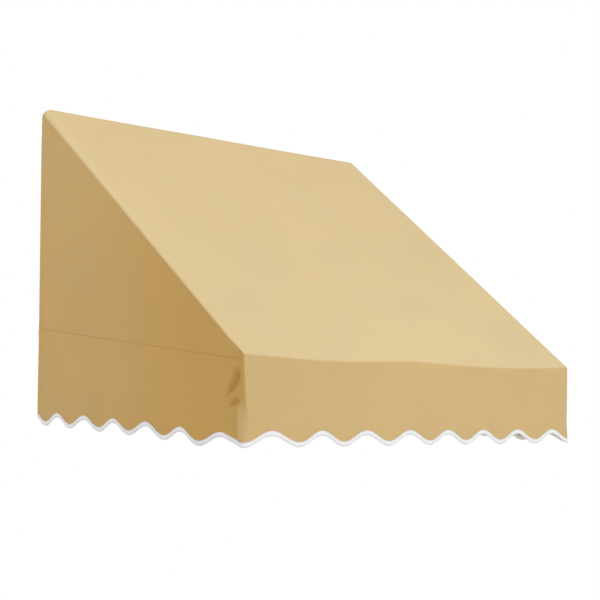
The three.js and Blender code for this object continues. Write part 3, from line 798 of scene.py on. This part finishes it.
def stitching(name, rows):
    """One piece that holds several rows of stitches, each a path and an outward direction."""
    points, faces, count = [], [], 0
    for path, outward in rows:
        row_points, row_faces = stitch_row(path, outward)
        points.append(row_points)
        faces.append(row_faces + count)
        count += len(row_points)
    points = np.concatenate(points)
    mesh = mesh_of(name, points, np.concatenate(faces), points)
    made = add_object(name, mesh, THREAD)
    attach(made, "root")
    return made


# ---- pieces of the cover --------------------------------------------------------------------


def add_cloth(name, node, grid, flip=False):
    """A sheet of the cover in place of its CAD node."""
    points, weave, keep = grid
    made = grid_piece(name, points, weave, CANVAS, CLOTH, keep, flip)
    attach(made, "root")
    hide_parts(node)


def braid_path(top, sides):
    """Centre line of the braid, from one wall edge round the front to the other."""
    lap = DROP_LAPS[-1] + 0.002
    parts = []
    for place in ("left", "right"):
        edge = sides[place][-1]
        edge = edge[edge[:, 1] > FACE_Y + lap]
        parts.append(edge[::-1] if place == "left" else edge)
    whole = np.concatenate([parts[0], top[-1], parts[1]])
    lengths = np.append(0, np.cumsum(np.linalg.norm(np.diff(whole, axis=0), axis=1)))
    places = np.linspace(0, lengths[-1], int(lengths[-1] / BRAID_STEP))
    path = np.stack([np.interp(places, lengths, whole[:, i]) for i in range(3)], axis=1)
    for _ in range(2):
        path[1:-1] = (path[:-2] + 2 * path[1:-1] + path[2:]) / 4
    return path, places


def add_braid(top, sides):
    """Woven tape folded over the scalloped edge.

    Returns the points of its upper edge and the outward direction at each.
    """
    path, places = braid_path(top, sides)
    ahead = np.gradient(path[:, :2], axis=0)
    ahead /= np.linalg.norm(ahead, axis=1, keepdims=True)
    out = np.stack([ahead[:, 1], -ahead[:, 0], 0 * places], axis=1)
    near_corner = np.hypot(np.abs(path[:, 0]) - HALF, path[:, 1] - FACE_Y)
    plies = 1 + smooth((0.034 - near_corner) / 0.008)
    depth = plies * PLY + BRAID_CLEARANCE

    ups = BRAID_HEIGHT * np.array(BRAID_UPS)
    outs = (BRAID_TAPE + BRAID_CLEARANCE) * np.array(BRAID_OUTS)
    ups = np.concatenate([ups, ups[-2::-1]]) - BRAID_DROP
    front = np.concatenate([outs, 0 * outs[:-1]])
    rear = np.concatenate([0 * outs, outs[-2::-1] + 0 * outs[:-1]])
    behind = np.concatenate([0 * outs, np.ones(len(outs) - 1)])
    behind[len(outs) - 1] = 0.5
    offset = front[:, None] - rear[:, None] - behind[:, None] * depth
    points = path + offset[:, :, None] * out
    points[:, :, 2] += ups[:, None]
    weave = np.stack([
        np.broadcast_to(places, offset.shape),
        np.broadcast_to(ups[:, None], offset.shape),
        0 * offset,
    ], axis=-1)
    made = grid_piece("braid", points, weave, BRAID, BRAID_TAPE)
    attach(made, "root")
    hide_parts("scallop_braid")
    return points[1], out


def build_top():
    """The top panel with its stitches. Returns its grid of points."""
    top, weave, keep = top_panel_grid()
    slope_rows = slice(len(SKIRT_ZS) + len(HEAD_TURNS), -2)
    lap_rows = [(top[slope_rows, column], (side, 0, 0)) for column, side in ((2, -1), (-3, 1))]
    skirt = top[2, 8:-8]
    openings = [np.abs(skirt[:, 0] - x) < NOTCH_HALF + 0.004 for x in BRACKET_XS]
    notched = np.any(openings, axis=0)
    spans = np.split(np.arange(len(skirt)), np.where(np.diff(notched))[0] + 1)
    skirt_rows = [(skirt[span], (0, 1, 0)) for span in spans if not notched[span[0]]]
    fold_end = top.shape[0] - len(VALANCE_SHARES) + 1
    pocket_row = [(top[fold_end, 14:-14], (0, -1, 0))]
    sewing = stitching("top_panel_stitches", lap_rows + skirt_rows + pocket_row)
    add_cloth(
        "canopy_top", "top_panel", (top, weave, keep),
    )
    return top


def build_wing(place, side):
    """A wing with its stitches: two rows over the lower hem and one down the rear hem."""
    wing, weave, keep = wing_grid(side)
    hem_y = REAR_Y - FOLD_TURN - REAR_HEM + 0.003
    hem_column = int(np.argmin(np.abs(wing[0, :, 1] - hem_y)))
    flat = wing[:, :-10]
    rows = [
        (flat[2, 14:], (side, 0, 0)),
        (flat[4, 14:], (side, 0, 0)),
        (wing[2:-6, hem_column], (side, 0, 0)),
    ]
    sewing = stitching(f"{place}_wing_stitches", rows)
    add_cloth(
        f"canopy_{place}_wing", f"{place}_wing", (wing, weave, keep),
        flip=side > 0,
    )


def build_side_valance(place, side):
    """A side valance with the stitches of its rear hem. Returns its grid of points."""
    valance, weave = side_valance_grid(side)
    hem = valance[8:-4, -5]
    sewing = stitching(f"{place}_valance_stitches", [(hem, (side, 0, 0))])
    add_cloth(
        f"canopy_{place}_side_valance", f"{place}_side_valance", (valance, weave, None),
        flip=side < 0,
    )
    return valance


def build_cover():
    """The sewn cover: top panel, wings, side valances, braid and every row of stitches."""
    top = build_top()
    valances = {}
    for place, side in SIDES.items():
        build_wing(place, side)
        valances[place] = build_side_valance(place, side)
    edge, out = add_braid(top, valances)
    rows = [
        (edge[span] + THREAD_LIFT * out[span] - (0, 0, below), outward)
        for below in BRAID_ROWS
        for span, outward in braid_spans(out)
    ]
    stitching("braid_stitches", rows)


def braid_spans(out):
    """The braid's straight spans as slices, each with its outward direction."""
    middle = len(out) // 2
    side = np.where(np.abs(out[:, 0]) > 0.75)[0]
    front = np.where(np.abs(out[:, 1]) > 0.75)[0]
    left, right = side[side < middle], side[side > middle]
    return [
        (slice(left[0], left[-1]), (-1, 0, 0)),
        (slice(front[0], front[-1]), (0, -1, 0)),
        (slice(right[0], right[-1]), (1, 0, 0)),
    ]


# ---- pockets --------------------------------------------------------------------------------

POCKET_CLOTH = 0.0007
POCKET_RADIUS = TUBE_RADIUS + 0.0009
POCKET_PUFF = 0.0007
POCKET_STATIONS = 70
TAIL_CLEARANCE = 0.0004
TAIL_BULGE = 0.85  # the share of the front's bulge that a tail follows


def pocket_grid(start, end, outward, reach, phase):
    """A cloth sleeve round a tube, closed by a doubled tail that runs out to the cover.

    The reach is how far the tail's end lies from the tube's axis, at each station along it.
    """
    start, end, outward = (np.array(v, float) for v in (start, end, outward))
    axis = (end - start) / np.linalg.norm(end - start)
    outward = outward - axis * (outward @ axis)
    outward /= np.linalg.norm(outward)
    beside = np.cross(axis, outward)
    shares = np.linspace(0, 1, POCKET_STATIONS)
    length = np.linalg.norm(end - start)
    half_gap = POCKET_CLOTH + PLY_GAP
    open_turn = math.asin((half_gap + TAIL_CLEARANCE) / POCKET_RADIUS)
    turns = np.linspace(open_turn, 2 * math.pi - open_turn, 30)
    reaches = np.interp(shares, np.linspace(0, 1, len(reach)), reach)
    puff = 1 + ripple(4 * shares[:, None] * length, turns, phase)
    puff = POCKET_PUFF * puff * np.sin(turns / 2) ** 4
    along_out = (POCKET_RADIUS + puff) * np.cos(turns)
    along_side = (POCKET_RADIUS + puff) * np.sin(turns)
    tail = np.linspace(1, 0.08, 4)[None, :] * (reaches - POCKET_RADIUS)[:, None] + POCKET_RADIUS
    gap = half_gap + 0 * tail
    along_out = np.concatenate([tail, along_out, tail[:, ::-1]], axis=1)
    along_side = np.concatenate([gap, along_side, -gap], axis=1)
    points = (
        start
        + shares[:, None, None] * (end - start)
        + along_out[:, :, None] * outward
        + along_side[:, :, None] * beside
    )
    around = np.append(0, np.cumsum(np.hypot(np.diff(along_out[0]), np.diff(along_side[0]))))
    weave = np.stack([
        np.broadcast_to(around, points.shape[:2]),
        np.broadcast_to(shares[:, None] * length, points.shape[:2]),
        np.full(points.shape[:2], 0.1),
    ], axis=-1)
    return points, weave, around[-1], length


def add_pocket(name, node, start, end, outward, reach, phase):
    points, weave, around, length = pocket_grid(start, end, outward, reach, phase)
    made = grid_piece(name, points, weave, CANVAS, POCKET_CLOTH, flip=True)
    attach(made, "root")
    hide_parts(node)


def build_pockets():
    for phase, place in enumerate(SIDES):
        low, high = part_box(f"{place}_front_pocket")
        xs = np.linspace(low.x, high.x, POCKET_STATIONS)
        reach = OUTER_BEND + TAIL_BULGE * FRONT_BULGE * lobe_at(xs) - CLOTH - TAIL_CLEARANCE
        start, end = (low.x, FRONT_Y, FRONT_Z), (high.x, FRONT_Y, FRONT_Z)
        name = f"canopy_{place}_front_pocket"
        node = f"{place}_front_pocket"
        add_pocket(name, node, start, end, (0, -1, 0), reach, phase)
    for place, side in SIDES.items():
        low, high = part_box(f"{place}_arm_pocket")
        arm_x = middle_x(f"{place}_upright")
        lean = math.atan2(SEAM_REAR_Z - SEAM_FRONT_Z, REAR_Y - FACE_Y)
        sink = TUBE_RADIUS + 0.0015
        start = (arm_x, high.y - sink * math.sin(lean), high.z - sink * math.cos(lean))
        end = (arm_x, low.y + sink * math.sin(lean), low.z + sink * math.cos(lean))
        reach = [HALF - abs(arm_x) - 2 * CLOTH - 0.0012] * 2
        node = f"{place}_arm_pocket"
        name = f"canopy_{place}_arm_pocket"
        add_pocket(name, node, start, end, (side, 0, 0), reach, 2 + side)


# ---- finish of the CAD parts ----------------------------------------------------------------

BEVEL_WIDTH = {"screw": 0.0003, "fitting": 0.0009, "tube": 0.0003}


def metal_kind(node):
    if "screw" in node:
        return "screw"
    if node.endswith(("_corner", "_tee", "_bracket")):
        return "fitting"
    return "tube"


def finish_metal():
    """Gives every metal CAD node its material, rounded edges and smooth shading."""
    materials = {
        "screw": screw_material(),
        "fitting": cast_material(),
        "tube": galvanised_material(),
    }
    for node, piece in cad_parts.items():
        if piece.hide_render:
            continue
        kind = metal_kind(node)
        piece.data.materials.clear()
        piece.data.materials.append(materials[kind])
        weld = piece.modifiers.new("weld", "WELD")
        weld.merge_threshold = 0.00001
        bevel = piece.modifiers.new("rounded_edges", "BEVEL")
        bevel.width = BEVEL_WIDTH[kind]
        bevel.segments = 2
        bevel.limit_method = "ANGLE"
        bevel.angle_limit = math.radians(40)
        custom = piece.data.attributes.get("custom_normal")
        if custom:
            piece.data.attributes.remove(custom)
        piece.data.shade_smooth()
        split = piece.modifiers.new("sharp_edges", "EDGE_SPLIT")
        split.split_angle = math.radians(38)


# ---- stage, lights and camera ---------------------------------------------------------------

FLOOR_Z = -3.05
FLOOR_RADIUS = 5.0
AMBIENT = {"from below": 0.57, "from above": 0.78}
CAMERA_PLACE = (-2.5304, -3.3646, -0.8917)
CAMERA_LENS = 78.905
CAMERA_RISE = 4.0  # degrees above level
CAMERA_TURN = -41.032  # degrees from looking along +Y
CAMERA_SHIFT = 0.05  # keeps upright edges nearer to parallel


def build_floor():
    """A pale floor that fades into the white backdrop towards its rim."""
    bpy.ops.mesh.primitive_circle_add(
        vertices=128, radius=FLOOR_RADIUS, fill_type="NGON", location=(0, -0.5, FLOOR_Z)
    )
    floor = bpy.context.object
    floor.name = "floor"
    tree = Tree("pale_floor", Roughness=0.9)
    place = tree.place()
    grain = tree.noise(place, 60.0, 4.0)
    tree.links.new(
        tree.blend(grain, (0.80, 0.80, 0.80, 1), (0.84, 0.84, 0.84, 1)),
        tree.shader.inputs["Base Color"],
    )
    distance = tree.node("ShaderNodeVectorMath", {0: place}, operation="LENGTH").outputs["Value"]
    fade = tree.ramp(distance, 0.35 * FLOOR_RADIUS, 0.95 * FLOOR_RADIUS, 0.0, 1.0)
    glow = tree.node("ShaderNodeEmission", {"Color": (1, 1, 1, 1)})
    mix = tree.node(
        "ShaderNodeMixShader", {0: fade, 1: tree.shader.outputs[0], 2: glow.outputs[0]}
    )
    output = tree.nodes["Material Output"]
    tree.links.new(mix.outputs[0], output.inputs["Surface"])
    floor.data.materials.append(tree.material)


def build_world():
    """White behind the object, and a softer ambient light for everything it lights."""
    world = bpy.data.worlds.new("studio")
    bpy.context.scene.world = world
    world.use_nodes = True
    nodes, links = world.node_tree.nodes, world.node_tree.links
    ambient = nodes["Background"]
    ambient.inputs["Color"].default_value = (1, 1, 1, 1)
    direction = nodes.new("ShaderNodeTexCoord")
    split = nodes.new("ShaderNodeSeparateXYZ")
    links.new(direction.outputs["Generated"], split.inputs[0])
    strength = nodes.new("ShaderNodeMapRange")
    strength.inputs["From Min"].default_value = -1
    strength.inputs["To Min"].default_value = AMBIENT["from below"]
    strength.inputs["To Max"].default_value = AMBIENT["from above"]
    links.new(split.outputs["Z"], strength.inputs["Value"])
    links.new(strength.outputs[0], ambient.inputs["Strength"])
    backdrop = nodes.new("ShaderNodeBackground")
    backdrop.inputs["Color"].default_value = (1, 1, 1, 1)
    rays = nodes.new("ShaderNodeLightPath")
    mix = nodes.new("ShaderNodeMixShader")
    links.new(rays.outputs["Is Camera Ray"], mix.inputs[0])
    links.new(ambient.outputs[0], mix.inputs[1])
    links.new(backdrop.outputs[0], mix.inputs[2])
    links.new(mix.outputs[0], nodes["World Output"].inputs["Surface"])


def add_softbox(name, place, target, size, power):
    light = bpy.data.lights.new(name, "AREA")
    light.shape = "DISK"
    light.size = size
    light.energy = power
    made = bpy.data.objects.new(name, light)
    made.location = place
    aim = Vector(target) - Vector(place)
    made.rotation_euler = aim.to_track_quat("-Z", "Y").to_euler()
    bpy.context.scene.collection.objects.link(made)


def build_lights():
    build_world()
    add_softbox("key", (0.5, -5.0, 2.4), (0, -0.5, -0.5), 2.4, 100)
    add_softbox("top_left", (-3.2, -0.4, 2.4), (-0.5, -0.6, -0.7), 1.2, 28)


def build_camera():
    camera = bpy.data.cameras.new("camera")
    camera.lens = CAMERA_LENS
    camera.sensor_width = 36
    camera.shift_y = CAMERA_SHIFT
    made = bpy.data.objects.new("camera", camera)
    made.location = CAMERA_PLACE
    made.rotation_euler = (math.radians(90 + CAMERA_RISE), 0, math.radians(CAMERA_TURN))
    bpy.context.scene.collection.objects.link(made)
    bpy.context.scene.camera = made


build_cover()
build_pockets()
finish_metal()
build_floor()
build_lights()
build_camera()
bpy.context.scene.view_settings.view_transform = "Standard"
